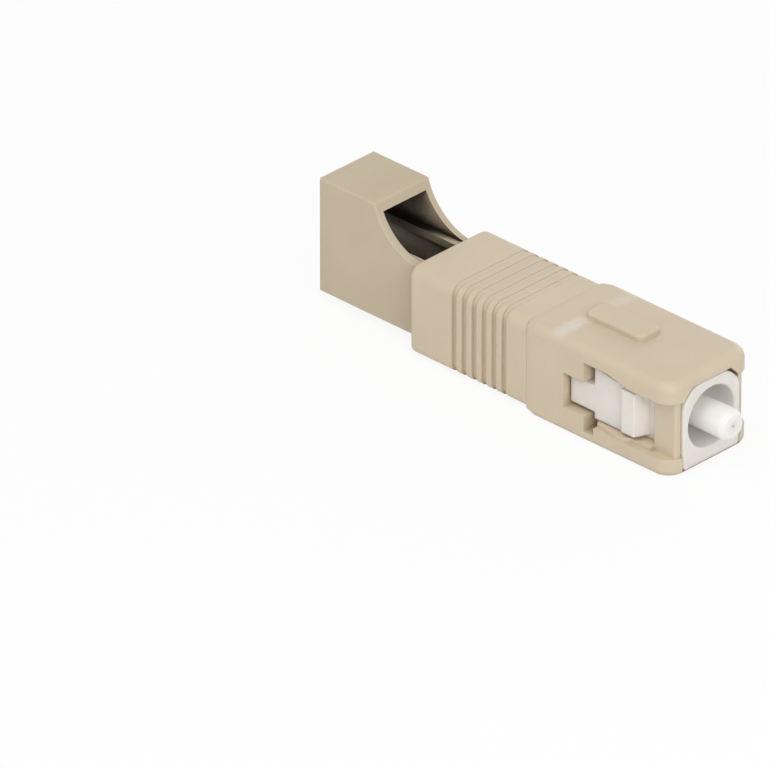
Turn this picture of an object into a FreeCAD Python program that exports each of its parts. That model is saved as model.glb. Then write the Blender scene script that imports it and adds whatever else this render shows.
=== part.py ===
import FreeCAD, Part
import os

import Sketcher
from FreeCAD import Vector

# Hybrid fibre adapter: a push-pull plug with a 2.5 mm ferrule at one end, a small latched port at the other.
# X runs along the optical axis towards the plug nose, Z is up on the key's side.
# The origin lies on the optical axis, in the plane of the housing's nose.
doc = FreeCAD.newDocument("hybrid_fibre_adapter")

# Driving dimensions in millimetres; lengths back from the nose are positive numbers.
dimensions = [
    ("nose_width", 9.0, "outer housing, width of the plug section"),
    ("nose_height", 7.95, "outer housing, height of the plug section"),
    ("axis_height", 3.82, "optical axis above the underside"),
    ("nose_length", 14.85, "length of the plug section"),
    ("nose_edge", 0.9, "round of the plug section's top edges"),
    ("nose_foot", 0.5, "round of the plug section's bottom edges"),
    ("nose_corner", 1.6, "round of the nose's upright corners"),
    ("step_length", 0.9, "length of the slope between plug and grip sections"),
    ("step_drop", 0.2, "drop of that slope"),
    ("housing_length", 27.1, "outer housing from nose to rear rim"),
    ("grip_inset", 0.25, "how far the grip section steps in all round"),
    ("grip_edge", 1.0, "round of the grip section's top edges"),
    ("grip_foot", 0.7, "round of the grip section's bottom edges"),
    ("rear_lip", 0.5, "round of the rear rim"),
    ("slide_gap", 0.06, "gap round the plug frame inside the housing"),
    ("frame_bay", 15.5, "depth of the housing's bay for the plug frame"),
    ("frame_bay_bevel", 1.0, "bevel of that bay's top corners"),
    ("rear_bay_half", 3.25, "half width of the housing's rear bay"),
    ("rear_bay_floor", 3.05, "rear bay floor below the axis"),
    ("rear_bay_roof", 3.3, "rear bay roof above the axis"),
    ("key_width", 2.3, "polarising key, width"),
    ("key_front", 6.15, "key front back from the nose"),
    ("key_rear", 11.95, "key rear back from the nose"),
    ("key_height", 0.55, "key above the plug section"),
    ("key_corner", 0.55, "round of the key's upright corners"),
    ("key_rim", 0.2, "round of the key's top rim"),
    ("groove_count", 6, "finger grooves on the grip"),
    ("groove_first", 17.0, "front of the first groove back from the nose"),
    ("groove_pitch", 1.03, "from groove to groove"),
    ("groove_width", 0.5, "width of a groove"),
    ("groove_depth", 0.22, "depth of a groove in the grip's sides"),
    ("groove_trace", 0.04, "depth of a groove on top and underneath"),
    ("channel_half", 2.35, "half height of the latch channel on each side"),
    ("channel_depth", 0.45, "depth of the latch channel"),
    ("bar_face", 3.6, "bars ahead of the side windows, out from the axis"),
    ("bar_setback", 0.25, "how far those bars stay behind the nose"),
    ("bar_edge", 0.2, "round of those bars"),
    ("window_front", 2.4, "front of the side window back from the nose"),
    ("window_top", 2.0, "top of the side window's front end above the axis"),
    ("window_foot", 2.0, "bottom of the side window below the axis"),
    ("slope_front", 3.6, "front of the slope on the window's top edge, back from the nose"),
    ("slope_foot", 2.2, "front of that slope above the axis"),
    ("slope_rear", 6.4, "rear of that slope back from the nose"),
    ("ramp_crest", 5.4, "crest of the release ramps back from the nose"),
    ("ramp_flat", 0.5, "flat on a release ramp, and its front slope"),
    ("ramp_sink", 0.05, "how far a ramp stays below the housing's side"),
    ("hook_front", 7.8, "front of the hook slot back from the nose"),
    ("hook_rear", 8.8, "rear of the hook slot back from the nose"),
    ("hook_top", 2.85, "top of the hook slot above the axis"),
    ("hook_foot", 3.0, "bottom of the hook slot below the axis"),
    ("tongue_window_rear", 10.9, "rear of the narrow window back from the nose"),
    ("tongue_window_top", 1.2, "top of the narrow window above the axis"),
    ("tongue_window_foot", 1.7, "bottom of the narrow window below the axis"),
    ("frame_width", 6.0, "plug frame, width"),
    ("frame_height", 6.4, "plug frame, height"),
    ("frame_proud", 0.05, "plug frame's face ahead of the nose"),
    ("frame_rear", 14.3, "rear of the plug frame back from the nose"),
    ("frame_bevel", 1.2, "bevel of the plug frame's top corners"),
    ("frame_round", 1.5, "round of those bevels' edges"),
    ("frame_corner", 0.35, "round of the plug frame's bottom corners"),
    ("frame_lip", 0.1, "bevel round the plug frame's face"),
    ("frame_foot", 3.5, "plug frame's front flange below the axis"),
    ("frame_foot_rear", 0.9, "rear of that flange back from the nose"),
    ("frame_foot_gap", 0.1, "room behind that flange in the housing"),
    ("bore_radius", 2.5, "plug frame's bore round the ferrule"),
    ("bore_depth", 5.6, "end of the bore back from the nose"),
    ("web_rear", 6.6, "rear of the web that stops the flange"),
    ("web_radius", 1.5, "hole in the web"),
    ("flange_bay_radius", 2.4, "bay for the ferrule flange"),
    ("flange_bay_rear", 9.6, "rear of the flange bay back from the nose"),
    ("socket_half", 2.65, "half width of the plug frame's rear socket"),
    ("ramp_foot", 3.4, "foot of the lead-in slope ahead of the catch ridge, back from the nose"),
    ("ridge_front", 3.95, "front of the catch ridge's flat"),
    ("ridge_rear", 5.2, "rear of the catch ridge"),
    ("ridge_face", 4.22, "catch ridge out from the axis"),
    ("ridge_top", 1.95, "top of the catch ridge above the axis"),
    ("ridge_base", 1.7, "bottom of the catch ridge below the axis"),
    ("wing_rear", 8.25, "rear of a wing back from the nose"),
    ("wing_top", 2.4, "rear of a wing's top above the axis"),
    ("wing_base", 1.9, "bottom of a wing below the axis"),
    ("tongue_face", 3.85, "tongue and the wing behind the ridge, out from the axis"),
    ("tongue_half", 1.1, "half height of the tongue"),
    ("tongue_drop", 0.25, "middle of the tongue below the axis"),
    ("tongue_rear", 10.7, "rear of the tongue back from the nose"),
    ("snap_rear", 13.7, "rear face of the snap tabs back from the nose"),
    ("snap_length", 0.8, "length of a snap tab"),
    ("snap_rise", 0.45, "height of a snap tab"),
    ("snap_half", 1.0, "half width of a snap tab"),
    ("snap_gap", 0.12, "room round a snap tab in its window"),
    ("port_end", 37.75, "mouth of the small port back from the nose"),
    ("port_width", 5.9, "small port block, width"),
    ("port_bottom", 2.95, "port block's underside below the axis"),
    ("port_top", 6.75, "port block's roof above the axis"),
    ("roof_length", 5.81, "roof of the port block along the axis"),
    ("saddle_radius", 5.15, "round of the saddle cut in front of the roof"),
    ("saddle_top", 3.03, "lowest point of the saddle above the axis"),
    ("port_edge", 0.12, "bevel of the port block's edges"),
    ("heel", 27.5, "port block's shoulder behind the housing's rear rim"),
    ("tail_bottom", 2.8, "port body's underside inside the housing, below the axis"),
    ("block_front", 25.8, "front of the port block inside the housing"),
    ("cavity_half", 2.3, "half width of the port's cavity, and its floor below the axis"),
    ("cavity_end", 26.5, "bulkhead at the end of the port's cavity"),
    ("rail_reach", 0.65, "guide rail out from the cavity wall"),
    ("rail_height", 0.65, "guide rail, height"),
    ("ear_top", 4.45, "top of the wide latch opening above the axis"),
    ("latch_slot", 2.5, "width of the latch slot in the mouth"),
    ("latch_slot_top", 5.95, "top of the latch slot above the axis"),
    ("mouth_wall", 1.65, "thickness of the keyed wall at the mouth"),
    ("floor_groove", 0.6, "width of the groove along the port's floor"),
    ("floor_groove_depth", 0.3, "depth of the groove along the port's floor"),
    ("spigot_half", 2.55, "half width of the square spigot"),
    ("spigot_front", 12.6, "front of the spigot back from the nose"),
    ("collar_rear", 15.4, "rear of the collar that stops the plug frame"),
    ("collar_half", 3.0, "half width of the collar"),
    ("collar_rise", 2.75, "half height of the collar"),
    ("collar_bevel", 0.6, "bevel of the collar's top corners"),
    ("spring_bay_radius", 2.25, "spring bay in the spigot"),
    ("spring_seat", 16.0, "spring's seat back from the nose"),
    ("tail_bore_radius", 1.5, "bore for the flange's tail"),
    ("bulkhead_front", 25.4, "front of the bulkhead back from the nose"),
    ("holder_radius", 1.43, "sleeve holder, outside"),
    ("holder_seat_gap", 0.02, "gap between sleeve holder and bulkhead"),
    ("holder_tip", 31.5, "open end of the sleeve holder back from the nose"),
    ("holder_flange_radius", 2.1, "sleeve holder's flange"),
    ("holder_flange_rear", 27.3, "rear of the sleeve holder's flange"),
    ("holder_bore", 0.88, "bore of the sleeve holder"),
    ("holder_lip_bore", 0.75, "mouth of the sleeve holder"),
    ("holder_lip", 0.25, "thickness of the sleeve holder's lip"),
    ("sleeve_outer", 0.83, "split sleeve, outside radius"),
    ("sleeve_inner", 0.64, "split sleeve, inside radius"),
    ("sleeve_front", 25.5, "front of the split sleeve back from the nose"),
    ("sleeve_rear", 31.2, "rear of the split sleeve back from the nose"),
    ("sleeve_slit", 0.35, "slit of the split sleeve"),
    ("ferrule_radius", 1.25, "plug ferrule, radius of its free end"),
    ("ferrule_tip", 2.25, "plug ferrule's tip ahead of the nose"),
    ("ferrule_rear", 8.2, "plug ferrule's seat in its flange back from the nose"),
    ("ferrule_relief", 5.4, "end of the ferrule's full radius back from the nose"),
    ("ferrule_seat_radius", 1.08, "plug ferrule, radius of its seat"),
    ("ferrule_bevel", 0.4, "length of the ferrule's end bevel"),
    ("ferrule_face", 0.95, "radius of the ferrule's end face"),
    ("flange_front", 6.65, "front of the ferrule flange back from the nose"),
    ("flange_rear", 8.4, "rear of the ferrule flange"),
    ("flange_radius", 2.2, "ferrule flange, radius"),
    ("flange_cone", 0.5, "length and depth of the flange's seating cone"),
    ("tail_radius", 1.05, "flange's tail tube, radius"),
    ("tail_rear", 23.2, "end of the tail tube back from the nose"),
    ("tail_channel", 0.3, "fibre channel in the tail tube, radius"),
    ("stub_radius", 0.6245, "small stub ferrule, radius"),
    ("stub_front", 21.2, "stub ferrule's seat in the tail tube back from the nose"),
    ("stub_tip", 28.2, "stub ferrule's tip back from the nose"),
    ("stub_bevel", 0.3, "length of the stub ferrule's end bevel"),
    ("stub_face", 0.42, "radius of the stub ferrule's end face"),
    ("fibre_radius", 0.0625, "glass fibre"),
    ("wire_radius", 0.2, "spring wire"),
    ("coil_radius", 1.82, "spring, mean radius"),
    ("coil_turns", 6, "turns of the spring"),
    ("spring_play", 0.03, "gap at each end of the spring"),
]

sheet = doc.addObject("Spreadsheet::Sheet", "dims")
for row, (alias, number, note) in enumerate(dimensions, start=1):
    sheet.set(f"A{row}", alias)
    sheet.set(f"B{row}", str(number))
    sheet.setAlias(f"B{row}", alias)
    sheet.set(f"C{row}", note)
doc.recompute()


def value_of(expression):
    return float(sheet.evalExpression(expression))


def new_body(label):
    body = doc.addObject("PartDesign::Body", label)
    body.Label = label
    return body


def origin_of(body, role):
    return next(item for item in body.Origin.OriginFeatures if item.Role == role)


def new_sketch(body, role, name, offset=None):
    sketch = body.newObject("Sketcher::SketchObject", name)
    sketch.AttachmentSupport = [(origin_of(body, role), "")]
    sketch.MapMode = "FlatFace"
    if offset:
        sketch.setExpression("AttachmentOffset.Base.z", offset)
    return sketch


def bind(sketch, constraint, name, expression):
    index = sketch.addConstraint(constraint)
    sketch.renameConstraint(index, name)
    sketch.setExpression(f"Constraints.{name}", expression)


def outline(sketch, corners):
    # a closed outline whose corners are pairs of expressions, each tied to the sketch's origin
    first = sketch.GeometryCount
    points = [Vector(value_of(x), value_of(y), 0) for x, y in corners]
    count = len(points)
    for n in range(count):
        sketch.addGeometry(Part.LineSegment(points[n], points[(n + 1) % count]))
    for n in range(count):
        sketch.addConstraint(Sketcher.Constraint("Coincident", first + n, 2, first + (n + 1) % count, 1))
    for n, (x, y) in enumerate(corners):
        side = first + n
        bind(sketch, Sketcher.Constraint("DistanceX", -1, 1, side, 1, points[n].x), f"x{side}", x)
        bind(sketch, Sketcher.Constraint("DistanceY", -1, 1, side, 1, points[n].y), f"y{side}", y)


def rectangle(sketch, left, right, bottom, top):
    outline(sketch, [(left, bottom), (right, bottom), (right, top), (left, top)])


def bevelled(half, rise, bevel):
    # corners of an upright rectangle about the axis whose two top corners are bevelled
    return [
        (f"-{half}", f"-{rise}"),
        (half, f"-{rise}"),
        (half, f"{rise} - {bevel}"),
        (f"{half} - {bevel}", rise),
        (f"-{half} + {bevel}", rise),
        (f"-{half}", f"{rise} - {bevel}"),
    ]


def rounded_rectangle(sketch, left, right, bottom, top, low_radius, high_radius):
    # four sides and four corner arcs, counted round from the lower left
    corners = [
        (left, bottom, 1, 1, low_radius),
        (right, bottom, -1, 1, low_radius),
        (right, top, -1, -1, high_radius),
        (left, top, 1, -1, high_radius),
    ]
    ends = []
    for turn_count, (x, y, inward_x, inward_y, radius) in enumerate(corners):
        across = (f"{x} + {inward_x} * {radius}", y)
        upwards = (x, f"{y} + {inward_y} * {radius}")
        ends += [upwards, across] if turn_count % 2 == 0 else [across, upwards]
    points = [Vector(value_of(x), value_of(y), 0) for x, y in ends]
    for n in range(4):
        sketch.addGeometry(Part.LineSegment(points[2 * n + 1], points[(2 * n + 2) % 8]))
    for n, (x, y, inward_x, inward_y, radius) in enumerate(corners):
        reach = value_of(radius)
        centre = Vector(value_of(x) + inward_x * reach, value_of(y) + inward_y * reach, 0)
        ring = Part.Circle(centre, Vector(0, 0, 1), reach)
        first = ring.parameter(points[2 * n])
        last = ring.parameter(points[2 * n + 1])
        arc = sketch.addGeometry(Part.ArcOfCircle(ring, first, last))
        sketch.addConstraint(Sketcher.Constraint("Coincident", arc, 1, (n + 3) % 4, 2))
        sketch.addConstraint(Sketcher.Constraint("Coincident", arc, 2, n, 1))
        bind(sketch, Sketcher.Constraint("Radius", arc, reach), f"radius{arc}", radius)
    for n in range(4):
        for end, (x, y) in ((1, ends[2 * n + 1]), (2, ends[(2 * n + 2) % 8])):
            bind(sketch, Sketcher.Constraint("DistanceX", -1, 1, n, end, value_of(x)), f"x{n}_{end}", x)
            bind(sketch, Sketcher.Constraint("DistanceY", -1, 1, n, end, value_of(y)), f"y{n}_{end}", y)


def circle(sketch, x, y, radius):
    centre = Vector(value_of(x), value_of(y), 0)
    ring = sketch.addGeometry(Part.Circle(centre, Vector(0, 0, 1), value_of(radius)))
    bind(sketch, Sketcher.Constraint("DistanceX", -1, 1, ring, 3, centre.x), f"x{ring}", x)
    bind(sketch, Sketcher.Constraint("DistanceY", -1, 1, ring, 3, centre.y), f"y{ring}", y)
    bind(sketch, Sketcher.Constraint("Radius", ring, value_of(radius)), f"radius{ring}", radius)


def pad(body, sketch, length, backwards=False, both_ways=False):
    feature = body.newObject("PartDesign::Pad", sketch.Name + "_pad")
    feature.Profile = sketch
    feature.setExpression("Length", length)
    feature.Reversed = backwards
    feature.Midplane = both_ways
    doc.recompute()
    return feature


def pocket(body, sketch, length=None, backwards=False):
    # with no length the pocket runs right through the piece on both sides of its sketch
    before = body.Tip.Shape.Volume
    feature = body.newObject("PartDesign::Pocket", sketch.Name + "_pocket")
    feature.Profile = sketch
    feature.Reversed = backwards
    if length:
        feature.setExpression("Length", length)
    else:
        feature.Type = "ThroughAll"
        feature.Midplane = True
    doc.recompute()
    if not feature.Shape.Volume < before:
        raise RuntimeError(f"{feature.Name} cuts nothing")
    return feature


def turn(body, kind, name, corners):
    # a solid or a cut turned about the optical axis; corners are pairs of place and radius
    sketch = new_sketch(body, "XZ_Plane", name + "_profile")
    outline(sketch, corners)
    feature = body.newObject(kind, name)
    feature.Profile = sketch
    feature.ReferenceAxis = (origin_of(body, "X_Axis"), [""])
    feature.Angle = 360
    doc.recompute()
    return feature


def mirror(body, features, role):
    feature = body.newObject("PartDesign::Mirrored", features[0].Name + "_mirror")
    feature.Originals = features
    feature.MirrorPlane = (origin_of(body, role), [""])
    body.Tip = feature
    doc.recompute()
    return feature


def edges_where(shape, test):
    return [f"Edge{n}" for n, edge in enumerate(shape.Edges, start=1) if test(edge)]


def ease(body, kind, name, size, test):
    # a fillet or a chamfer on the edges of the body that pass the test
    base = body.Tip
    feature = body.newObject(kind, name)
    feature.Base = (base, edges_where(base.Shape, test))
    feature.setExpression("Radius" if kind == "PartDesign::Fillet" else "Size", size)
    doc.recompute()
    return feature


def close(one, other):
    return abs(one - other) < 1e-5


def along_x(edge):
    box = edge.BoundBox
    return box.XLength > 0.5 and box.YLength < 1e-5 and box.ZLength < 1e-5


def upright(edge):
    box = edge.BoundBox
    return box.ZLength > 0.1 and box.XLength < 1e-5 and box.YLength < 1e-5


def in_plane_x(edge, x):
    return close(edge.BoundBox.XMin, x) and close(edge.BoundBox.XMax, x)


def in_plane_z(edge, z):
    return close(edge.BoundBox.ZMin, z) and close(edge.BoundBox.ZMax, z)


# Outer housing: plug section, grip section, key, bays, latch channels, windows and finger grooves.
def make_outer_housing():
    body = new_body("outer_housing")
    half = "dims.nose_width / 2"
    top = "(dims.nose_height - dims.axis_height)"

    nose = new_sketch(body, "YZ_Plane", "nose_section")
    rectangle(nose, f"-{half}", half, "-dims.axis_height", top)
    pad(body, nose, "dims.nose_length", backwards=True)
    step = value_of("-dims.nose_length")
    ease(body, "PartDesign::Fillet", "nose_corners", "dims.nose_corner",
         lambda edge: upright(edge) and in_plane_x(edge, 0))
    crown = value_of(top)
    base = value_of("-dims.axis_height")
    ease(body, "PartDesign::Fillet", "nose_edges", "dims.nose_edge",
         lambda edge: in_plane_z(edge, crown) and edge.BoundBox.XMax > step + 0.1)
    ease(body, "PartDesign::Fillet", "nose_feet", "dims.nose_foot",
         lambda edge: in_plane_z(edge, base) and edge.BoundBox.XMax > step + 0.1)
    slope = ease(body, "PartDesign::Chamfer", "step_slope", "dims.step_length",
                 lambda edge: in_plane_x(edge, step))
    slope.ChamferType = "Two distances"
    slope.setExpression("Size2", "dims.step_drop")
    doc.recompute()

    grip = new_sketch(body, "YZ_Plane", "grip_section", "-dims.nose_length")
    inset = "dims.grip_inset"
    rounded_rectangle(grip, f"-{half} + {inset}", f"{half} - {inset}", f"-dims.axis_height + {inset}",
                      f"{top} - {inset}", "dims.grip_foot", "dims.grip_edge")
    pad(body, grip, "dims.housing_length - dims.nose_length", backwards=True)
    rear = value_of("-dims.housing_length")
    ease(body, "PartDesign::Fillet", "rear_rim", "dims.rear_lip", lambda edge: in_plane_x(edge, rear))

    key = new_sketch(body, "XY_Plane", "key_plan", top)
    rectangle(key, "-dims.key_rear", "-dims.key_front", "-dims.key_width / 2", "dims.key_width / 2")
    pad(body, key, "dims.key_height")
    crest = value_of(f"{top} + dims.key_height")
    ease(body, "PartDesign::Fillet", "key_corners", "dims.key_corner",
         lambda edge: upright(edge) and close(edge.BoundBox.ZMax, crest))
    ease(body, "PartDesign::Fillet", "key_rim", "dims.key_rim", lambda edge: in_plane_z(edge, crest))

    front_bay = new_sketch(body, "YZ_Plane", "frame_bay")
    bay_half = "(dims.frame_width / 2 + dims.slide_gap)"
    bay_rise = "(dims.frame_height / 2 + dims.slide_gap)"
    outline(front_bay, bevelled(bay_half, bay_rise, "dims.frame_bay_bevel"))
    pocket(body, front_bay, "dims.frame_bay")
    foot_bay = new_sketch(body, "YZ_Plane", "foot_bay")
    rectangle(foot_bay, f"-{bay_half}", bay_half, "-dims.frame_foot - dims.slide_gap", "0")
    pocket(body, foot_bay, "dims.frame_foot_rear + dims.frame_foot_gap")
    rear_bay = new_sketch(body, "YZ_Plane", "rear_bay", "-dims.housing_length")
    rectangle(rear_bay, "-dims.rear_bay_half", "dims.rear_bay_half",
              "-dims.rear_bay_floor", "dims.rear_bay_roof")
    pocket(body, rear_bay, "dims.housing_length - dims.frame_bay + dims.slide_gap", backwards=True)

    channels = new_sketch(body, "YZ_Plane", "latch_channels")
    channel_floor = f"({half} - dims.channel_depth)"
    for side in ("-", ""):
        rectangle(channels, f"{side}{channel_floor}", f"{side}dims.nose_width",
                  "-dims.channel_half", "dims.channel_half")
    pocket(body, channels, "dims.hook_front")
    bars = new_sketch(body, "YZ_Plane", "bar_sides")
    for side in ("-", ""):
        rectangle(bars, f"{side}dims.bar_face", f"{side}dims.nose_width",
                  "-dims.channel_half", "dims.channel_half")
    pocket(body, bars, "dims.window_front")
    setback = new_sketch(body, "YZ_Plane", "bar_fronts")
    rectangle(setback, "-dims.nose_width", "dims.nose_width", "-dims.channel_half", "dims.channel_half")
    pocket(body, setback, "dims.bar_setback")
    bar_front = value_of("-dims.bar_setback")
    bar_side = value_of("dims.bar_face")
    ease(body, "PartDesign::Fillet", "bar_edges", "dims.bar_edge",
         lambda edge: upright(edge) and in_plane_x(edge, bar_front)
         and close(abs(edge.BoundBox.YMin), bar_side))

    # ramps under the windows lift the latch arms when the housing is pulled back
    ramps = new_sketch(body, "XY_Plane", "release_ramps", "-dims.channel_half")
    crest_face = f"({half} - dims.ramp_sink)"
    root = f"({channel_floor} - dims.ramp_sink)"
    for side in ("-", ""):
        outline(ramps, [
            ("-dims.hook_front", f"{side}{root}"),
            ("-dims.hook_front", f"{side}{channel_floor}"),
            ("-dims.ramp_crest", f"{side}{crest_face}"),
            ("-dims.ramp_crest + dims.ramp_flat", f"{side}{crest_face}"),
            ("-dims.ramp_crest + 2 * dims.ramp_flat", f"{side}{channel_floor}"),
            ("-dims.ramp_crest + 2 * dims.ramp_flat", f"{side}{root}"),
        ])
    pad(body, ramps, "dims.channel_half - dims.window_foot")

    window = new_sketch(body, "XZ_Plane", "side_window")
    outline(window, [
        ("-dims.window_front", "dims.window_top"),
        ("-dims.slope_front", "dims.slope_foot"),
        ("-dims.slope_rear", "dims.hook_top"),
        ("-dims.hook_rear", "dims.hook_top"),
        ("-dims.hook_rear", "dims.tongue_window_top"),
        ("-dims.tongue_window_rear", "dims.tongue_window_top"),
        ("-dims.tongue_window_rear", "-dims.tongue_window_foot"),
        ("-dims.hook_rear", "-dims.tongue_window_foot"),
        ("-dims.hook_rear", "-dims.hook_foot"),
        ("-dims.hook_front", "-dims.hook_foot"),
        ("-dims.hook_front", "-dims.window_foot"),
        ("-dims.window_front", "-dims.window_foot"),
    ])
    pocket(body, window)

    ring = new_sketch(body, "YZ_Plane", "finger_groove", "-dims.groove_first")
    floor = "(dims.grip_inset + dims.groove_depth)"
    trace = "dims.groove_trace"
    rounded_rectangle(ring, f"-{half} + {floor}", f"{half} - {floor}",
                      f"-dims.axis_height + {inset} + {trace}", f"{top} - {inset} - {trace}",
                      f"(dims.grip_foot - {trace})", f"(dims.grip_edge - {trace})")
    rectangle(ring, "-dims.nose_width", "dims.nose_width", "-dims.nose_height", "dims.nose_height")
    groove = pocket(body, ring, "dims.groove_width")
    grooves = body.newObject("PartDesign::LinearPattern", "finger_grooves")
    grooves.Originals = [groove]
    grooves.Direction = (origin_of(body, "X_Axis"), [""])
    grooves.Reversed = True
    grooves.setExpression("Length", "dims.groove_pitch * (dims.groove_count - 1)")
    grooves.setExpression("Occurrences", "dims.groove_count")
    body.Tip = grooves
    doc.recompute()
    return body


# Plug frame: the white inner moulding that holds the ferrule and carries the side wings.
def make_plug_frame():
    body = new_body("plug_frame")
    half = "dims.frame_width / 2"
    rise = "dims.frame_height / 2"

    face = new_sketch(body, "YZ_Plane", "frame_section", "dims.frame_proud")
    outline(face, bevelled(half, rise, "dims.frame_bevel"))
    pad(body, face, "dims.frame_proud + dims.frame_rear", backwards=True)
    foot = new_sketch(body, "YZ_Plane", "foot_section", "dims.frame_proud")
    rectangle(foot, f"-{half}", half, "-dims.frame_foot", "0")
    pad(body, foot, "dims.frame_proud + dims.frame_foot_rear", backwards=True)
    floor = value_of("-dims.frame_foot")
    ease(body, "PartDesign::Fillet", "frame_corners", "dims.frame_corner",
         lambda edge: along_x(edge) and close(edge.BoundBox.ZMin, floor))
    shoulder = value_of(f"{rise} - dims.frame_bevel - 0.01")
    ease(body, "PartDesign::Fillet", "frame_shoulders", "dims.frame_round",
         lambda edge: along_x(edge) and edge.BoundBox.ZMin > shoulder)
    front = value_of("dims.frame_proud")
    ease(body, "PartDesign::Chamfer", "frame_rim", "dims.frame_lip", lambda edge: in_plane_x(edge, front))

    root = "dims.socket_half + dims.slide_gap"
    ridge = new_sketch(body, "XY_Plane", "ridge_profile", "-dims.ridge_base")
    outline(ridge, [
        ("-dims.ramp_foot", root),
        ("-dims.ramp_foot", half),
        ("-dims.ridge_front", "dims.ridge_face"),
        ("-dims.ridge_rear", "dims.ridge_face"),
        ("-dims.ridge_rear", root),
    ])
    ridge_pad = pad(body, ridge, "dims.ridge_base + dims.ridge_top")
    wing = new_sketch(body, "XZ_Plane", "wing_outline", f"-({root})")
    outline(wing, [
        ("-dims.ridge_rear", "-dims.wing_base"),
        ("-dims.ridge_rear", "dims.ridge_top"),
        ("-dims.wing_rear", "dims.wing_top"),
        ("-dims.wing_rear", "-dims.wing_base"),
    ])
    wing_pad = pad(body, wing, f"dims.tongue_face - ({root})", backwards=True)
    tongue = new_sketch(body, "XY_Plane", "tongue_profile", "-dims.tongue_drop")
    rectangle(tongue, "-dims.tongue_rear", "-dims.wing_rear", root, "dims.tongue_face")
    tongue_pad = pad(body, tongue, "dims.tongue_half * 2", both_ways=True)
    mirror(body, [ridge_pad, wing_pad, tongue_pad], "XZ_Plane")

    turn(body, "PartDesign::Groove", "ferrule_bore", [
        ("dims.frame_proud", "0"),
        ("dims.frame_proud", "dims.bore_radius + dims.frame_lip"),
        ("dims.frame_proud - dims.frame_lip", "dims.bore_radius"),
        ("-dims.bore_depth", "dims.bore_radius"),
        ("-dims.bore_depth", "dims.web_radius"),
        ("-dims.web_rear", "dims.web_radius"),
        ("-dims.web_rear", "dims.flange_bay_radius"),
        ("-dims.flange_bay_rear", "dims.flange_bay_radius"),
        ("-dims.flange_bay_rear", "0"),
    ])
    socket = new_sketch(body, "YZ_Plane", "rear_socket", "-dims.frame_rear")
    rectangle(socket, "-dims.socket_half", "dims.socket_half", "-dims.socket_half", "dims.socket_half")
    pocket(body, socket, "dims.frame_rear - dims.flange_bay_rear", backwards=True)
    catch = new_sketch(body, "XY_Plane", "snap_window")
    rectangle(catch, "-dims.snap_rear - dims.snap_gap", "-dims.snap_rear + dims.snap_length + dims.snap_gap",
              "-dims.snap_half - dims.snap_gap", "dims.snap_half + dims.snap_gap")
    pocket(body, catch)
    return body


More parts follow.
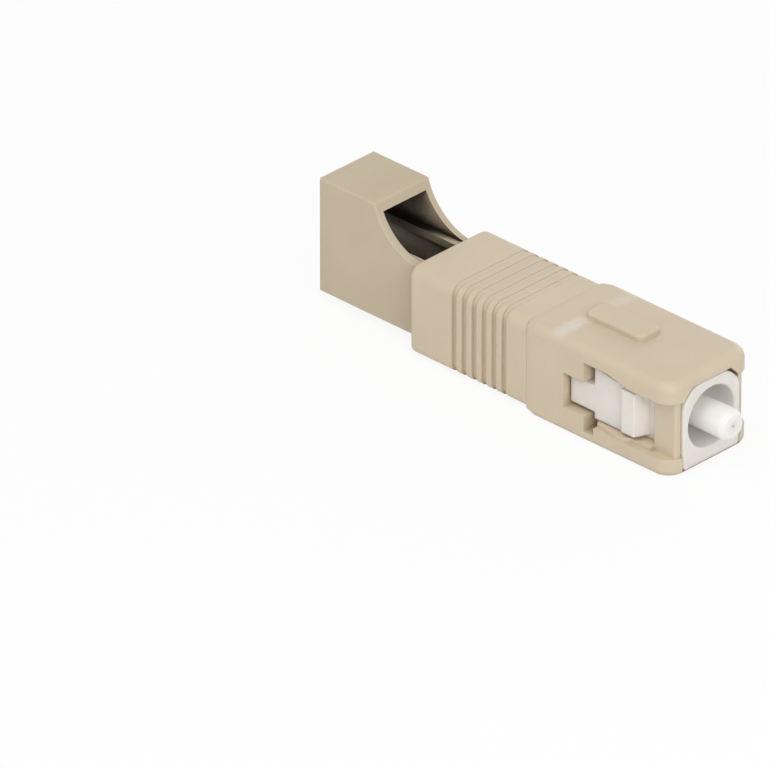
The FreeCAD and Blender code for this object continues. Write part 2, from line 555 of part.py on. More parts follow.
# Port body: the latched port with its saddle, the bulkhead and the spigot that carries the plug frame.
def make_port_body():
    body = new_body("port_body")
    side = new_sketch(body, "XZ_Plane", "block_side")
    rectangle(side, "-dims.port_end", "-dims.block_front", "-dims.port_bottom", "dims.port_top")
    pad(body, side, "dims.port_width", both_ways=True)

    # the saddle's round starts at the front edge of the roof and is lowest just inside the housing
    saddle = new_sketch(body, "XZ_Plane", "saddle_round")
    saddle_height = "(dims.saddle_top + dims.saddle_radius)"
    reach = f"sqrt(dims.saddle_radius ^ 2 - ({saddle_height} - dims.port_top) ^ 2)"
    saddle_place = f"(-dims.port_end + dims.roof_length + {reach})"
    circle(saddle, saddle_place, saddle_height, "dims.saddle_radius")
    pocket(body, saddle)
    brow = new_sketch(body, "XZ_Plane", "saddle_run_out")
    rectangle(brow, saddle_place, "-dims.block_front", "dims.saddle_top", "dims.port_top")
    pocket(body, brow)
    heel = new_sketch(body, "XZ_Plane", "heel_step")
    rectangle(heel, "-dims.heel", "-dims.block_front", "-dims.port_bottom", "-dims.tail_bottom")
    pocket(body, heel)
    shoulder = value_of("-dims.heel")
    ease(body, "PartDesign::Chamfer", "block_edges", "dims.port_edge",
         lambda edge: edge.BoundBox.XMin < shoulder - 0.1)

    spigot = new_sketch(body, "YZ_Plane", "spigot_section", "-dims.block_front")
    rectangle(spigot, "-dims.spigot_half", "dims.spigot_half", "-dims.spigot_half", "dims.spigot_half")
    pad(body, spigot, "dims.block_front - dims.spigot_front")
    collar = new_sketch(body, "YZ_Plane", "collar_section", "-dims.collar_rear")
    outline(collar, bevelled("dims.collar_half", "dims.collar_rise", "dims.collar_bevel"))
    pad(body, collar, "dims.collar_rear - dims.frame_rear")
    tab = new_sketch(body, "XZ_Plane", "snap_tab")
    sunk = "dims.spigot_half - dims.snap_gap"
    outline(tab, [
        ("-dims.snap_rear", sunk),
        ("-dims.snap_rear", "dims.spigot_half + dims.snap_rise"),
        ("-dims.snap_rear + dims.snap_length", sunk),
    ])
    tab_pad = pad(body, tab, "dims.snap_half * 2", both_ways=True)
    mirror(body, [tab_pad], "XY_Plane")

    turn(body, "PartDesign::Groove", "spring_bore", [
        ("-dims.spigot_front", "0"),
        ("-dims.spigot_front", "dims.spring_bay_radius"),
        ("-dims.spring_seat", "dims.spring_bay_radius"),
        ("-dims.spring_seat", "dims.tail_bore_radius"),
        ("-dims.bulkhead_front", "dims.tail_bore_radius"),
        ("-dims.bulkhead_front", "dims.holder_radius + dims.holder_seat_gap"),
        ("-dims.cavity_end", "dims.holder_radius + dims.holder_seat_gap"),
        ("-dims.cavity_end", "0"),
    ])

    # the keyed mouth: plug space below, guide rails, wide latch opening and narrow latch slot above
    port = new_sketch(body, "YZ_Plane", "keyed_mouth", "-dims.port_end")
    rail_top = "dims.cavity_half + dims.rail_height"
    right = [
        ("dims.cavity_half", "-dims.cavity_half"),
        ("dims.cavity_half", "dims.cavity_half"),
        ("(dims.cavity_half - dims.rail_reach)", "dims.cavity_half"),
        ("(dims.cavity_half - dims.rail_reach)", rail_top),
        ("dims.cavity_half", rail_top),
        ("dims.cavity_half", "dims.ear_top"),
        ("dims.latch_slot / 2", "dims.ear_top"),
        ("dims.latch_slot / 2", "dims.latch_slot_top"),
    ]
    outline(port, right + [(f"-{y}", z) for y, z in reversed(right)])
    pocket(body, port, "dims.port_end - dims.cavity_end", backwards=True)
    latch = new_sketch(body, "YZ_Plane", "latch_bay", "-dims.port_end + dims.mouth_wall")
    rectangle(latch, "-dims.cavity_half", "dims.cavity_half", rail_top, "dims.latch_slot_top")
    pocket(body, latch, "dims.port_end - dims.mouth_wall - dims.cavity_end", backwards=True)
    groove = new_sketch(body, "YZ_Plane", "floor_groove", "-dims.port_end")
    rectangle(groove, "-dims.floor_groove / 2", "dims.floor_groove / 2",
              "-dims.cavity_half - dims.floor_groove_depth", "-dims.cavity_half + dims.floor_groove_depth")
    pocket(body, groove, "dims.port_end - dims.holder_tip", backwards=True)
    return body


# Ferrules, flange and fibre: the optical line that floats against the spring.
def make_plug_ferrule():
    body = new_body("plug_ferrule")
    turn(body, "PartDesign::Revolution", "ferrule", [
        ("dims.ferrule_tip", "dims.fibre_radius"),
        ("dims.ferrule_tip", "dims.ferrule_face"),
        ("dims.ferrule_tip - dims.ferrule_bevel", "dims.ferrule_radius"),
        ("-dims.ferrule_relief", "dims.ferrule_radius"),
        ("-dims.ferrule_relief", "dims.ferrule_seat_radius"),
        ("-dims.ferrule_rear", "dims.ferrule_seat_radius"),
        ("-dims.ferrule_rear", "dims.fibre_radius"),
    ])
    return body


def make_ferrule_flange():
    body = new_body("ferrule_flange")
    turn(body, "PartDesign::Revolution", "flange", [
        ("-dims.flange_front", "dims.ferrule_seat_radius"),
        ("-dims.flange_front", "dims.flange_radius - dims.flange_cone"),
        ("-dims.flange_front - dims.flange_cone", "dims.flange_radius"),
        ("-dims.flange_rear", "dims.flange_radius"),
        ("-dims.flange_rear", "dims.tail_radius"),
        ("-dims.tail_rear", "dims.tail_radius"),
        ("-dims.tail_rear", "dims.stub_radius"),
        ("-dims.stub_front", "dims.stub_radius"),
        ("-dims.stub_front", "dims.tail_channel"),
        ("-dims.ferrule_rear", "dims.tail_channel"),
        ("-dims.ferrule_rear", "dims.ferrule_seat_radius"),
    ])
    return body


def make_stub_ferrule():
    body = new_body("stub_ferrule")
    turn(body, "PartDesign::Revolution", "stub", [
        ("-dims.stub_front", "dims.fibre_radius"),
        ("-dims.stub_front", "dims.stub_radius"),
        ("-dims.stub_tip + dims.stub_bevel", "dims.stub_radius"),
        ("-dims.stub_tip", "dims.stub_face"),
        ("-dims.stub_tip", "dims.fibre_radius"),
    ])
    return body


def make_glass_fibre():
    body = new_body("glass_fibre")
    turn(body, "PartDesign::Revolution", "fibre", [
        ("dims.ferrule_tip", "0"),
        ("dims.ferrule_tip", "dims.fibre_radius"),
        ("-dims.stub_tip", "dims.fibre_radius"),
        ("-dims.stub_tip", "0"),
    ])
    return body


# Spring between the flange and the spigot's seat, its wire four-sided to keep its faces few.
def make_ferrule_spring():
    body = new_body("ferrule_spring")
    wire = new_sketch(body, "XZ_Plane", "wire_section")
    end = "dims.wire_radius + dims.spring_play"
    outline(wire, [
        (f"-dims.spring_seat + {end} + dims.wire_radius * cos({angle} deg)",
         f"dims.coil_radius + dims.wire_radius * sin({angle} deg)")
        for angle in range(0, 360, 90)
    ])
    coil = body.newObject("PartDesign::AdditiveHelix", "coil")
    coil.Profile = wire
    coil.ReferenceAxis = (origin_of(body, "X_Axis"), [""])
    coil.Mode = "height-turns-angle"
    coil.setExpression("Height", f"dims.spring_seat - dims.flange_rear - 2 * ({end})")
    coil.setExpression("Turns", "dims.coil_turns")
    doc.recompute()
    return body


# Sleeve holder and split sleeve: they line up the plug that enters the port with the stub ferrule.
def make_sleeve_holder():
    body = new_body("sleeve_holder")
    turn(body, "PartDesign::Revolution", "holder", [
        ("-dims.bulkhead_front", "dims.holder_bore"),
        ("-dims.bulkhead_front", "dims.holder_radius"),
        ("-dims.cavity_end", "dims.holder_radius"),
        ("-dims.cavity_end", "dims.holder_flange_radius"),
        ("-dims.holder_flange_rear", "dims.holder_flange_radius"),
        ("-dims.holder_flange_rear", "dims.holder_radius"),
        ("-dims.holder_tip + dims.holder_lip", "dims.holder_radius"),
        ("-dims.holder_tip", "dims.holder_radius - dims.holder_lip"),
        ("-dims.holder_tip", "dims.holder_lip_bore"),
        ("-dims.holder_tip + dims.holder_lip", "dims.holder_lip_bore"),
        ("-dims.holder_tip + dims.holder_lip", "dims.holder_bore"),
    ])
    return body


def make_split_sleeve():
    body = new_body("split_sleeve")
    turn(body, "PartDesign::Revolution", "sleeve", [
        ("-dims.sleeve_front", "dims.sleeve_inner"),
        ("-dims.sleeve_front", "dims.sleeve_outer"),
        ("-dims.sleeve_rear", "dims.sleeve_outer"),
        ("-dims.sleeve_rear", "dims.sleeve_inner"),
    ])
    slit = new_sketch(body, "YZ_Plane", "slit_section", "-dims.sleeve_rear")
    rectangle(slit, "-dims.sleeve_slit / 2", "dims.sleeve_slit / 2", "-dims.sleeve_outer * 2", "0")
    pocket(body, slit, "dims.sleeve_rear - dims.sleeve_front", backwards=True)
    return body


pieces = [
    make_outer_housing(),
    make_plug_frame(),
    make_port_body(),
    make_plug_ferrule(),
    make_ferrule_flange(),
    make_stub_ferrule(),
    make_glass_fibre(),
    make_ferrule_spring(),
    make_sleeve_holder(),
    make_split_sleeve(),
]
doc.recompute()

for item in doc.Objects:
    if "Invalid" in item.State or "Error" in item.State:
        raise RuntimeError(f"{item.Label} failed: {item.State}")
for piece in pieces:
    shape = piece.Shape
    if shape.isNull() or not shape.isValid() or len(shape.Solids) != 1:
        raise RuntimeError(f"{piece.Label} has no single valid solid")

os.makedirs("parts", exist_ok=True)
for piece in pieces:
    piece.Shape.exportStep(f"parts/{piece.Label}.step")
    print(piece.Label, "volume", round(piece.Shape.Volume, 3), "mm3, faces", len(piece.Shape.Faces))
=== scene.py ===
import math

import bpy
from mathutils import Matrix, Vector


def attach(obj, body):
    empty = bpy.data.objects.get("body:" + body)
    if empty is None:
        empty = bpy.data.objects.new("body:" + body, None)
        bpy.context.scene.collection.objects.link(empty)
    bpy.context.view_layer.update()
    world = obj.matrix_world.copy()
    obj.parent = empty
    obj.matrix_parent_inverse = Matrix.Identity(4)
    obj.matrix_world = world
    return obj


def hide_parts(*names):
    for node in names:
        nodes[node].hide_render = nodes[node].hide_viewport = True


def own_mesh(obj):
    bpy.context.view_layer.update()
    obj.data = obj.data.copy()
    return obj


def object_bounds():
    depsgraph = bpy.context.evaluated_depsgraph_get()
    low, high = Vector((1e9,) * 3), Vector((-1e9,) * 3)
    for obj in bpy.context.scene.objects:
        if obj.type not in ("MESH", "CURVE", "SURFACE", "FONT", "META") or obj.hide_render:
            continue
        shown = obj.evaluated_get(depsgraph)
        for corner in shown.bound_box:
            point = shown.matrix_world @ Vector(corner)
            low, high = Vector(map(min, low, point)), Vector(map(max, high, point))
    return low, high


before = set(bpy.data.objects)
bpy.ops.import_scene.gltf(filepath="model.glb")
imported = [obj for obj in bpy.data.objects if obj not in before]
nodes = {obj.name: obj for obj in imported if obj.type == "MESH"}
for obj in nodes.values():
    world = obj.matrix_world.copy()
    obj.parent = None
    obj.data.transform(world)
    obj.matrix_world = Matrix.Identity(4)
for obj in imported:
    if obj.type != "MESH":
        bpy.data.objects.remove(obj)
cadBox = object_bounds()
mm = 0.001
print("frame loaded with", len(nodes), "solids")

scene = bpy.context.scene
scene.view_settings.view_transform = "Standard"


# colours are written as they look on screen, 0 to 255, and this undoes the screen's curve
def tone(red, green, blue):
    def linear(level):
        share = level / 255
        return share / 12.92 if share <= 0.04045 else ((share + 0.055) / 1.055) ** 2.4
    return (linear(red), linear(green), linear(blue), 1.0)


def setInputs(node, values):
    for key, value in values.items():
        node.inputs[key].default_value = value


def addNode(tree, kind, inputs=None, **settings):
    node = tree.nodes.new(kind)
    for key, value in settings.items():
        setattr(node, key, value)
    setInputs(node, inputs or {})
    return node


def link(tree, source, target):
    tree.links.new(source, target)


# a socket gets a fixed value, or a link from another node
def feed(tree, source, socket):
    if isinstance(source, (int, float, tuple)):
        socket.default_value = source
    else:
        link(tree, source, socket)


def startMaterial(name):
    material = bpy.data.materials.new(name)
    material.use_nodes = True
    tree = material.node_tree
    place = addNode(tree, "ShaderNodeTexCoord").outputs["Object"]
    return material, tree, tree.nodes["Principled BSDF"], place


def joinShader(tree, shader, colour, rough, normal=None):
    link(tree, colour, shader.inputs["Base Color"])
    link(tree, rough, shader.inputs["Roughness"])
    if normal:
        link(tree, normal, shader.inputs["Normal"])


noiseSpan = (0.3, 0.7)  # most values of a noise lie between these


# noise in the part's own frame, its scale in patches per millimetre
def noiseAt(tree, place, perMm, detail=2.0, stretch=None):
    if stretch:
        mapping = addNode(tree, "ShaderNodeMapping", {"Scale": stretch})
        link(tree, place, mapping.inputs["Vector"])
        place = mapping.outputs["Vector"]
    noise = addNode(tree, "ShaderNodeTexNoise", {"Scale": perMm / mm, "Detail": detail})
    link(tree, place, noise.inputs["Vector"])
    return noise.outputs["Fac"]


def remap(tree, value, low, high, toLow=0.0, toHigh=1.0):
    limits = {"From Min": low, "From Max": high, "To Min": toLow, "To Max": toHigh}
    node = addNode(tree, "ShaderNodeMapRange", limits)
    link(tree, value, node.inputs["Value"])
    return node.outputs["Result"]


def math2(tree, operation, first, second=0.0):
    node = addNode(tree, "ShaderNodeMath", operation=operation)
    feed(tree, first, node.inputs[0])
    feed(tree, second, node.inputs[1])
    return node.outputs["Value"]


# a colour mix has its share in socket 0, its two colours in 6 and 7, and its result in output 2
def mixTone(tree, share, first, second):
    node = addNode(tree, "ShaderNodeMix", data_type="RGBA")
    feed(tree, share, node.inputs[0])
    feed(tree, first, node.inputs[6])
    feed(tree, second, node.inputs[7])
    return node.outputs[2]


# a normal that rounds sharp edges a little
def roundedNormal(tree, radiusMm, samples):
    return addNode(tree, "ShaderNodeBevel", {"Radius": radiusMm * mm}, samples=samples).outputs["Normal"]


def bumpFrom(tree, height, distanceMm, strength, under=None):
    bump = addNode(tree, "ShaderNodeBump", {"Strength": strength, "Distance": distanceMm * mm})
    link(tree, height, bump.inputs["Height"])
    if under:
        link(tree, under, bump.inputs["Normal"])
    return bump.outputs["Normal"]


scatterReach = (1.0, 0.95, 0.85)  # red goes a little further than blue


# light that enters a pale piece and comes out again nearby
def letLightIn(shader, look):
    setInputs(shader, {
        "Subsurface Weight": look["scatter"],
        "Subsurface Radius": scatterReach,
        "Subsurface Scale": look["scatterMm"] * mm,
    })


# smooth shading inside each moulded face, sharp where two faces meet at an angle
shading = {"weldMm": 0.0005, "sharpDegrees": 32, "areaWeight": 60}


def makeShadingTree():
    tree = bpy.data.node_groups.new("smoothByAngle", "GeometryNodeTree")
    tree.interface.new_socket("Geometry", in_out="INPUT", socket_type="NodeSocketGeometry")
    tree.interface.new_socket("Geometry", in_out="OUTPUT", socket_type="NodeSocketGeometry")
    inlet = addNode(tree, "NodeGroupInput")
    outlet = addNode(tree, "NodeGroupOutput")
    faces = addNode(tree, "GeometryNodeSetShadeSmooth", {"Shade Smooth": True}, domain="FACE")
    edges = addNode(tree, "GeometryNodeSetShadeSmooth", domain="EDGE")
    angle = addNode(tree, "GeometryNodeInputMeshEdgeAngle")
    soft = addNode(tree, "FunctionNodeCompare", data_type="FLOAT", operation="LESS_THAN")
    soft.inputs["B"].default_value = math.radians(shading["sharpDegrees"])
    link(tree, angle.outputs["Unsigned Angle"], soft.inputs["A"])
    link(tree, inlet.outputs[0], faces.inputs["Geometry"])
    link(tree, faces.outputs["Geometry"], edges.inputs["Geometry"])
    link(tree, soft.outputs["Result"], edges.inputs["Shade Smooth"])
    link(tree, edges.outputs["Geometry"], outlet.inputs[0])
    return tree


shadingTree = makeShadingTree()


def shadeSmooth(piece):
    own = piece.data.attributes.get("custom_normal")
    if own:
        piece.data.attributes.remove(own)
    weld = piece.modifiers.new("weld", "WELD")
    weld.merge_threshold = shading["weldMm"] * mm
    soften = piece.modifiers.new("soften", "NODES")
    soften.node_group = shadingTree
    weighted = piece.modifiers.new("weighted", "WEIGHTED_NORMAL")
    weighted.mode = "FACE_AREA"
    weighted.weight = shading["areaWeight"]
    weighted.keep_sharp = True


def dress(nodeName, material):
    piece = nodes[nodeName]
    piece.data.materials.clear()
    piece.data.materials.append(material)
    shadeSmooth(piece)


# painted index stripes across the top, beside the key, in millimetres
stripeLook = {
    "rear": -12.3, "front": -11.2, "keySide": 1.2, "outerSide": 4.15, "above": 3.6, "aboveBlur": 0.05,
    "edgeBlur": 0.55, "paint": tone(232, 226, 218), "cover": 0.44, "coverSwing": 0.2, "farShare": 0.55,
    "waverMm": 0.12, "waverPerMm": 1.6, "waverDetail": 3.0, "patchPerMm": 3.5, "patchDetail": 4.0,
    "paintSpan": (0.25, 0.75),
}


# 1 between two limits in millimetres and 0 outside, with a blurred edge
def between(tree, value, low, high, blur):
    rise = remap(tree, value, (low - blur / 2) * mm, (low + blur / 2) * mm)
    fall = remap(tree, value, (high - blur / 2) * mm, (high + blur / 2) * mm, 1.0, 0.0)
    return math2(tree, "MULTIPLY", rise, fall)


def addStripes(tree, place, colour, look):
    split = addNode(tree, "ShaderNodeSeparateXYZ")
    link(tree, place, split.inputs["Vector"])
    across, upward = split.outputs["Y"], split.outputs["Z"]
    swing = look["waverMm"] * mm
    waver = noiseAt(tree, place, look["waverPerMm"], look["waverDetail"])
    waver = remap(tree, waver, *look["paintSpan"], -swing, swing)
    along = math2(tree, "ADD", split.outputs["X"], waver)
    sideways = math2(tree, "ADD", math2(tree, "ABSOLUTE", across), waver)
    patchy = noiseAt(tree, place, look["patchPerMm"], look["patchDetail"])
    thin = look["cover"] - look["coverSwing"]
    thick = look["cover"] + look["coverSwing"]

    # the stripes' length, their width, only on the top, fainter on the far side, and patchy
    mask = between(tree, along, look["rear"], look["front"], look["edgeBlur"])
    for share in (
        between(tree, sideways, look["keySide"], look["outerSide"], look["edgeBlur"]),
        remap(tree, upward, (look["above"] - look["aboveBlur"]) * mm, look["above"] * mm),
        remap(tree, across, -look["keySide"] * mm, look["keySide"] * mm, 1.0, look["farShare"]),
        remap(tree, patchy, *look["paintSpan"], thin, thick),
    ):
        mask = math2(tree, "MULTIPLY", mask, share)
    return mixTone(tree, mask, colour, look["paint"])


# what all the moulded plastics share; edgeSpan is the cosine between the two normals at an edge
moulding = {
    "cloudDetail": 3.0, "cloudSpan": (0.32, 0.68), "wearAndHighlightSpan": (0.35, 0.65), "bumpStrength": 0.5, "ior": 1.5,
    "edgeSpan": (0.86, 0.995), "edgeSamples": 6, "roundSamples": 8, "recessSamples": 8,
}


# 1 along edges and 0 on open faces, from how far a rounded normal leans off the true one; it places the
# paler edges of wear and painted highlight
def edgeShare(tree, look):
    rounded = roundedNormal(tree, look["edgeMm"], moulding["edgeSamples"])
    plain = addNode(tree, "ShaderNodeNewGeometry")
    dot = addNode(tree, "ShaderNodeVectorMath", operation="DOT_PRODUCT")
    link(tree, rounded, dot.inputs[0])
    link(tree, plain.outputs["Normal"], dot.inputs[1])
    return remap(tree, dot.outputs["Value"], *moulding["edgeSpan"], 1.0, 0.0)


# share of painted shading from occlusion: 1 deep inside hollows and 0 on open faces; with recessAlone a
# piece looks only at its own walls
def paintedRecessShading(tree, look):
    occlusionShading = addNode(tree, "ShaderNodeAmbientOcclusion", {"Distance": look["recessMm"] * mm})
    occlusionShading.samples = moulding["recessSamples"]
    occlusionShading.only_local = look["recessAlone"]
    return remap(tree, occlusionShading.outputs["AO"], look["recessFull"], look["recessNone"], 1.0, 0.0)


# moulded plastic: cloudy colour, fine grain, softer and paler along edges (wear and painted highlight), and
# painted shading in hollows
def mouldedPlastic(name, look, stripes=None):
    material, tree, shader, place = startMaterial(name)
    cloud = noiseAt(tree, place, look["cloudPerMm"], moulding["cloudDetail"])
    grain = noiseAt(tree, place, look["grainPerMm"])
    ripple = noiseAt(tree, place, look["ripplePerMm"])
    speckle = remap(tree, grain, *noiseSpan, 0.0, look["grainShare"])
    # paler edges: part wear, part painted highlight standing in for light on the rounded edges
    wearAndHighlight = remap(tree, ripple, *moulding["wearAndHighlightSpan"], look["wearAndHighlightLow"], look["wearAndHighlightHigh"])
    wornAndHighlit = math2(tree, "MULTIPLY", edgeShare(tree, look), wearAndHighlight)
    # painted shading in hollows: a dark tone paints shade, a pale one paints light
    occlusionShading = math2(tree, "MULTIPLY", paintedRecessShading(tree, look), look["recessShadingCover"])
    colour = mixTone(tree, remap(tree, cloud, *moulding["cloudSpan"]), look["deepTone"], look["paleTone"])
    colour = mixTone(tree, speckle, colour, look["grainTone"])
    colour = mixTone(tree, wornAndHighlit, colour, look["edgeTone"])
    colour = mixTone(tree, occlusionShading, colour, look["recessShadingTone"])
    if stripes:
        colour = addStripes(tree, place, colour, stripes)
    rough = remap(tree, ripple, *noiseSpan, look["roughLow"], look["roughHigh"])
    normal = roundedNormal(tree, look["roundMm"], moulding["roundSamples"])
    normal = bumpFrom(tree, ripple, look["rippleMm"], moulding["bumpStrength"], normal)
    normal = bumpFrom(tree, grain, look["grainMm"], moulding["bumpStrength"], normal)
    joinShader(tree, shader, colour, rough, normal)
    setInputs(shader, {"IOR": moulding["ior"], "Specular IOR Level": look["shine"]})
    if "scatter" in look:
        letLightIn(shader, look)
    return material


# the housing is warm beige, paler along its edges from wear and a painted highlight, with painted shade in
# its grooves, openings and seams
housingLook = {
    "deepTone": tone(208, 192, 167), "paleTone": tone(213, 198, 174), "grainTone": tone(199, 182, 154),
    "edgeTone": tone(221, 208, 188), "cloudPerMm": 0.16, "grainPerMm": 9.0, "ripplePerMm": 1.1,
    "grainShare": 0.22, "edgeMm": 0.16, "wearAndHighlightLow": 0.15, "wearAndHighlightHigh": 0.55,
    "roughLow": 0.40, "roughHigh": 0.52, "rippleMm": 0.012, "grainMm": 0.004, "shine": 0.42,
    "recessShadingTone": tone(156, 134, 102), "recessMm": 1.3, "recessShadingCover": 0.42, "recessAlone": False,
    "recessFull": 0.25, "recessNone": 0.6, "roundMm": 0.1,
}
dress("outer_housing", mouldedPlastic("housingPlastic", housingLook, stripeLook))

# the port is a little greyer, paler along its edges from wear and a painted highlight, and painted shade
# makes it dark inside
portLook = {
    "deepTone": tone(199, 184, 159), "paleTone": tone(204, 190, 166), "grainTone": tone(188, 173, 147),
    "edgeTone": tone(212, 198, 175), "cloudPerMm": 0.2, "grainPerMm": 10.0, "ripplePerMm": 0.9,
    "grainShare": 0.2, "edgeMm": 0.12, "wearAndHighlightLow": 0.15, "wearAndHighlightHigh": 0.5,
    "roughLow": 0.44, "roughHigh": 0.56, "rippleMm": 0.010, "grainMm": 0.004, "shine": 0.1,
    "recessShadingTone": tone(26, 20, 11), "recessMm": 5.0, "recessShadingCover": 1.0, "recessAlone": True,
    "recessFull": 0.5, "recessNone": 0.86, "roundMm": 0.08,
}
dress("port_body", mouldedPlastic("portPlastic", portLook))
print("beige mouldings dressed")

# the white frame is paler deep in its bore from painted light, paler along its edges from wear and a painted
# highlight, and light comes through its walls
whiteLook = {
    "deepTone": tone(231, 225, 217), "paleTone": tone(238, 232, 225), "grainTone": tone(222, 215, 205),
    "edgeTone": tone(244, 240, 234), "cloudPerMm": 0.3, "grainPerMm": 8.0, "ripplePerMm": 1.4,
    "grainShare": 0.18, "edgeMm": 0.14, "wearAndHighlightLow": 0.2, "wearAndHighlightHigh": 0.6,
    "roughLow": 0.34, "roughHigh": 0.46, "rippleMm": 0.010, "grainMm": 0.003, "shine": 0.45,
    "recessShadingTone": tone(253, 248, 241), "recessMm": 6.0, "recessShadingCover": 0.9, "recessAlone": True,
    "recessFull": 0.4, "recessNone": 0.85, "roundMm": 0.1,
    "scatter": 0.5, "scatterMm": 1.2,
}
dress("plug_frame", mouldedPlastic("whitePlastic", whiteLook))

# the sleeve holder is the port's plastic, a little darker, and its painted shade also counts the port's
# walls around it
holderLook = dict(portLook, deepTone=tone(176, 163, 142), paleTone=tone(184, 171, 150), recessAlone=False)
dress("sleeve_holder", mouldedPlastic("holderPlastic", holderLook))

# ground ceramic: nearly plain white, with fine rings left by grinding
ceramicLook = {
    "deepTone": tone(232, 230, 225), "paleTone": tone(243, 242, 239), "ringTone": tone(222, 219, 212),
    "cloudPerMm": 0.5, "ringPerMm": 14.0, "ringStretch": (1.0, 0.04, 0.04), "noiseDetail": 3.0,
    "ringSpan": (0.35, 0.7), "ringShare": 0.22, "ringMm": 0.002, "bumpStrength": 0.4,
    "roughLow": 0.42, "roughHigh": 0.54, "shine": 0.1, "ior": 1.7,
    "scatter": 0.85, "scatterMm": 1.6,
}


def groundCeramic(name, look):
    material, tree, shader, place = startMaterial(name)
    cloud = noiseAt(tree, place, look["cloudPerMm"], look["noiseDetail"])
    rings = noiseAt(tree, place, look["ringPerMm"], look["noiseDetail"], look["ringStretch"])
    ringed = remap(tree, rings, *look["ringSpan"], 0.0, look["ringShare"])
    colour = mixTone(tree, remap(tree, cloud, *noiseSpan), look["deepTone"], look["paleTone"])
    colour = mixTone(tree, ringed, colour, look["ringTone"])
    rough = remap(tree, rings, *noiseSpan, look["roughLow"], look["roughHigh"])
    joinShader(tree, shader, colour, rough, bumpFrom(tree, rings, look["ringMm"], look["bumpStrength"]))
    setInputs(shader, {"IOR": look["ior"], "Specular IOR Level": look["shine"]})
    letLightIn(shader, look)
    return material


ceramic = groundCeramic("groundCeramic", ceramicLook)
for nodeName in ("plug_ferrule", "stub_ferrule", "split_sleeve"):
    dress(nodeName, ceramic)

# turned metal with tool rings, used for the flange, and drawn wire for the spring
metalWork = {"lineDetail": 4.0, "stainPerMm": 0.8, "stainDetail": 3.0, "stainLow": 0.6, "bumpStrength": 0.5}
flangeLook = {
    "deepTone": tone(176, 172, 162), "paleTone": tone(205, 201, 190), "linePerMm": 11.0,
    "stretch": (1.0, 0.05, 0.05), "lineMm": 0.004, "roughLow": 0.22, "roughHigh": 0.42,
}
wireLook = {
    "deepTone": tone(150, 150, 150), "paleTone": tone(192, 192, 190), "linePerMm": 8.0,
    "stretch": (1.0, 0.3, 0.3), "lineMm": 0.002, "roughLow": 0.25, "roughHigh": 0.4,
}


def linedMetal(name, look):
    material, tree, shader, place = startMaterial(name)
    lines = noiseAt(tree, place, look["linePerMm"], metalWork["lineDetail"], look["stretch"])
    stain = noiseAt(tree, place, metalWork["stainPerMm"], metalWork["stainDetail"])
    stain = remap(tree, stain, *noiseSpan, metalWork["stainLow"], 1.0)
    share = math2(tree, "MULTIPLY", remap(tree, lines, *noiseSpan), stain)
    colour = mixTone(tree, share, look["deepTone"], look["paleTone"])
    rough = remap(tree, lines, *noiseSpan, look["roughHigh"], look["roughLow"])
    joinShader(tree, shader, colour, rough, bumpFrom(tree, lines, look["lineMm"], metalWork["bumpStrength"]))
    setInputs(shader, {"Metallic": 1.0})
    return material


dress("ferrule_flange", linedMetal("turnedFlange", flangeLook))
springWire = linedMetal("drawnWire", wireLook)

# clear glass with faint streaks along the fibre
fibreLook = {
    "deepTone": tone(205, 216, 220), "paleTone": tone(232, 240, 242), "roughLow": 0.03, "roughHigh": 0.09,
    "streakPerMm": 2.0, "stretch": (0.1, 1.0, 1.0), "ior": 1.46, "clear": 0.7,
}


def glassFibre(name, look):
    material, tree, shader, place = startMaterial(name)
    streak = noiseAt(tree, place, look["streakPerMm"], stretch=look["stretch"])
    colour = mixTone(tree, streak, look["deepTone"], look["paleTone"])
    rough = remap(tree, streak, *noiseSpan, look["roughLow"], look["roughHigh"])
    joinShader(tree, shader, colour, rough)
    setInputs(shader, {"IOR": look["ior"], "Transmission Weight": look["clear"]})
    return material


dress("glass_fibre", glassFibre("fibreGlass", fibreLook))
print("white parts, ceramic, metal and glass dressed")

# ferrule spring: round wire with closed end turns, between the flange and its seat, in millimetres
coil = {
    "seat": -15.97, "front": -8.43, "meanRadius": 1.82, "wireRadius": 0.19, "travel": 0.9,
    "turns": 7.0, "stepsPerTurn": 40, "sides": 10,
    "endTurns": 1.0, "endPitch": 2.1,  # rise of a closed turn, in wire radii
}


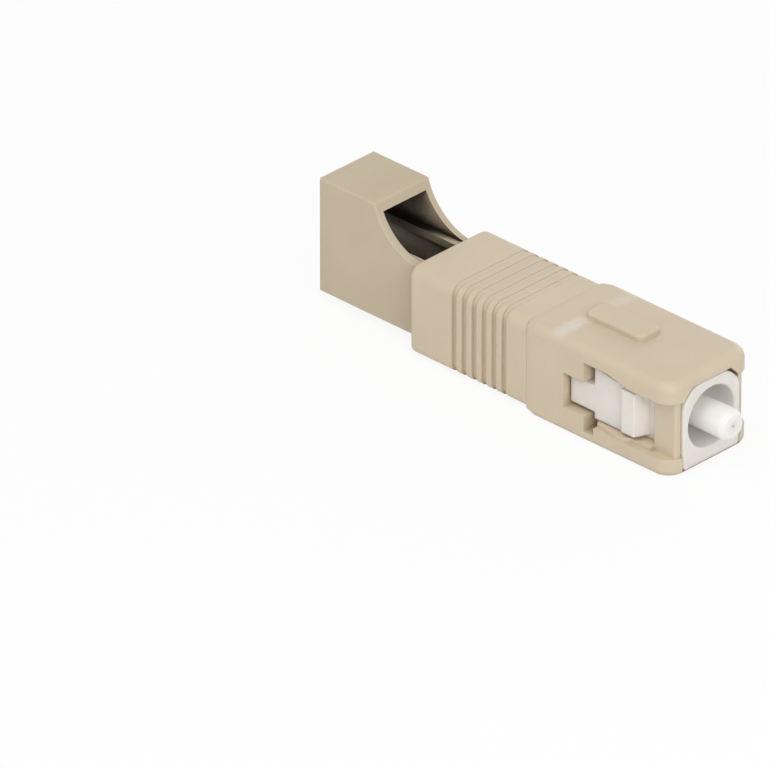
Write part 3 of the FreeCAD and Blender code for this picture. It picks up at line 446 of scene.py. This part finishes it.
def makeSpring(coil):
    sides = coil["sides"]
    steps = int(coil["turns"] * coil["stepsPerTurn"])
    low = coil["seat"] + coil["wireRadius"]
    high = coil["front"] - coil["wireRadius"]
    endRise = coil["endPitch"] * coil["wireRadius"]
    openTurns = coil["turns"] - 2 * coil["endTurns"]
    openPitch = (high - low - 2 * endRise * coil["endTurns"]) / openTurns
    axis = Vector((1, 0, 0))

    # the wire's place along the axis: close turns at both ends, an even pitch between
    def along(turn):
        fromEnd = min(turn, coil["turns"] - turn)
        closed = min(fromEnd, coil["endTurns"])
        rise = endRise * closed + openPitch * (fromEnd - closed)
        return low + rise if turn <= coil["turns"] / 2 else high - rise

    vertices, faces = [], []
    for step in range(steps + 1):
        turn = step / coil["stepsPerTurn"]
        angle = 2 * math.pi * turn
        outward = Vector((0, math.cos(angle), math.sin(angle)))
        centre = axis * along(turn) + outward * coil["meanRadius"]
        for side in range(sides):
            around = 2 * math.pi * side / sides
            offset = outward * math.cos(around) + axis * math.sin(around)
            vertices.append((centre + offset * coil["wireRadius"]) * mm)
    for step in range(steps):
        for side in range(sides):
            first = step * sides + side
            nextOne = step * sides + (side + 1) % sides
            faces.append((first, first + sides, nextOne + sides, nextOne))
    faces.append(tuple(range(sides)))
    faces.append(tuple(reversed(range(steps * sides, (steps + 1) * sides))))
    mesh = bpy.data.meshes.new("springWire")
    mesh.from_pydata(vertices, [], faces)
    mesh.validate()
    spring = bpy.data.objects.new("springWire", mesh)
    scene.collection.objects.link(spring)
    mesh.materials.append(springWire)
    for face in mesh.polygons:
        face.use_smooth = len(face.vertices) == 4  # the wire is smooth, its two ends are flat
    return spring


spring = makeSpring(coil)
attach(spring, "core")
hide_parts("ferrule_spring")
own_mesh(spring)
print("spring wound,", len(spring.data.polygons), "faces")

# floor: white, keeps the soft shadow under the part, its size in metres
floorLook = {
    "size": 0.6, "dropMm": 0.02, "white": tone(250, 250, 250), "grey": tone(244, 244, 244),
    "patchPerMm": 0.02, "rough": 0.9, "shine": 0.1, "glowTone": tone(255, 255, 255), "glow": 0.9,
}


# 1 for rays that show the background: straight to the camera, mirrored, or through glass
def seenRay(tree):
    rays = addNode(tree, "ShaderNodeLightPath")
    mirrored = math2(tree, "MAXIMUM", rays.outputs["Is Glossy Ray"], rays.outputs["Is Transmission Ray"])
    return math2(tree, "MAXIMUM", rays.outputs["Is Camera Ray"], mirrored)


def makeFloor(look):
    level = cadBox[0].z - look["dropMm"] * mm
    half = look["size"] / 2
    corners = [(-half, -half, level), (half, -half, level), (half, half, level), (-half, half, level)]
    mesh = bpy.data.meshes.new("floor")
    mesh.from_pydata(corners, [], [(0, 1, 2, 3)])
    floor = bpy.data.objects.new("floor", mesh)
    scene.collection.objects.link(floor)
    material, tree, shader, place = startMaterial("floorPaper")
    tint = mixTone(tree, noiseAt(tree, place, look["patchPerMm"]), look["white"], look["grey"])
    link(tree, tint, shader.inputs["Base Color"])
    setInputs(shader, {"Roughness": look["rough"], "Specular IOR Level": look["shine"]})
    glow = addNode(tree, "ShaderNodeEmission", {"Color": look["glowTone"], "Strength": 1.0})
    blend = addNode(tree, "ShaderNodeMixShader")
    link(tree, math2(tree, "MULTIPLY", seenRay(tree), look["glow"]), blend.inputs["Fac"])
    link(tree, shader.outputs["BSDF"], blend.inputs[1])
    link(tree, glow.outputs["Emission"], blend.inputs[2])
    link(tree, blend.outputs["Shader"], tree.nodes["Material Output"].inputs["Surface"])
    mesh.materials.append(material)


makeFloor(floorLook)

# soft studio light: an even white room, a lamp before the nose, one above and a low one behind
studio = {
    "room": 0.56, "backdrop": 1.0, "roomTone": tone(255, 255, 255),
    "lamps": [
        {"name": "frontLamp", "place": (215, -118, 140), "size": 110, "watts": 0.255},
        {"name": "topLamp", "place": (-20, -120, 250), "size": 200, "watts": 0.19},
        {"name": "backLamp", "place": (-70, 265, 60), "size": 150, "watts": 0.13},
    ],
}


def lightStudio(studio):
    world = bpy.data.worlds.new("studioRoom")
    scene.world = world
    world.use_nodes = True
    tree = world.node_tree
    background = tree.nodes["Background"]
    background.inputs["Color"].default_value = studio["roomTone"]
    level = remap(tree, seenRay(tree), 0.0, 1.0, studio["room"], studio["backdrop"])
    link(tree, level, background.inputs["Strength"])
    middle = (cadBox[0] + cadBox[1]) / 2
    for lamp in studio["lamps"]:
        data = bpy.data.lights.new(lamp["name"], "AREA")
        data.shape = "DISK"
        data.size = lamp["size"] * mm
        data.energy = lamp["watts"]
        item = bpy.data.objects.new(lamp["name"], data)
        item.location = Vector(lamp["place"]) * mm
        item.rotation_mode = "QUATERNION"
        item.rotation_quaternion = (middle - item.location).to_track_quat("-Z", "Y")
        scene.collection.objects.link(item)


lightStudio(studio)
print("floor and lights set")

# camera: the part sits in the upper right of the frame, seen from the near side and the nose
view = {
    "azimuth": 44.2, "elevation": 29.6, "lens": 900.0, "sensor": 36.0, "frameSize": 769,
    "pixelsPerMm": 13.42, "centre": (-18.0, 0.0, 1.0), "centrePixel": (536.0, 320.8),
    "clipNear": 0.01, "clipFar": 10.0,
}


# back points from the part to the camera, and aim is what lies in the middle of the frame
def aimCamera(view):
    turn, tilt = math.radians(view["azimuth"]), math.radians(view["elevation"])
    back = Vector((math.sin(turn) * math.cos(tilt), -math.cos(turn) * math.cos(tilt), math.sin(tilt)))
    right = Vector((math.cos(turn), math.sin(turn), 0))
    up = back.cross(right)
    middle = view["frameSize"] / 2
    acrossMm = (middle - view["centrePixel"][0]) / view["pixelsPerMm"]
    upMm = (view["centrePixel"][1] - middle) / view["pixelsPerMm"]
    aim = (Vector(view["centre"]) + right * acrossMm + up * upMm) * mm
    frameWidth = view["frameSize"] / view["pixelsPerMm"] * mm
    data = bpy.data.cameras.new("camera")
    data.lens = view["lens"]
    data.sensor_width = view["sensor"]
    data.clip_start = view["clipNear"]
    data.clip_end = view["clipFar"]
    camera = bpy.data.objects.new("camera", data)
    camera.location = aim + back * (frameWidth * view["lens"] / view["sensor"])
    camera.rotation_mode = "QUATERNION"
    camera.rotation_quaternion = (-back).to_track_quat("-Z", "Y")
    scene.collection.objects.link(camera)
    scene.camera = camera


aimCamera(view)
print("camera aimed")
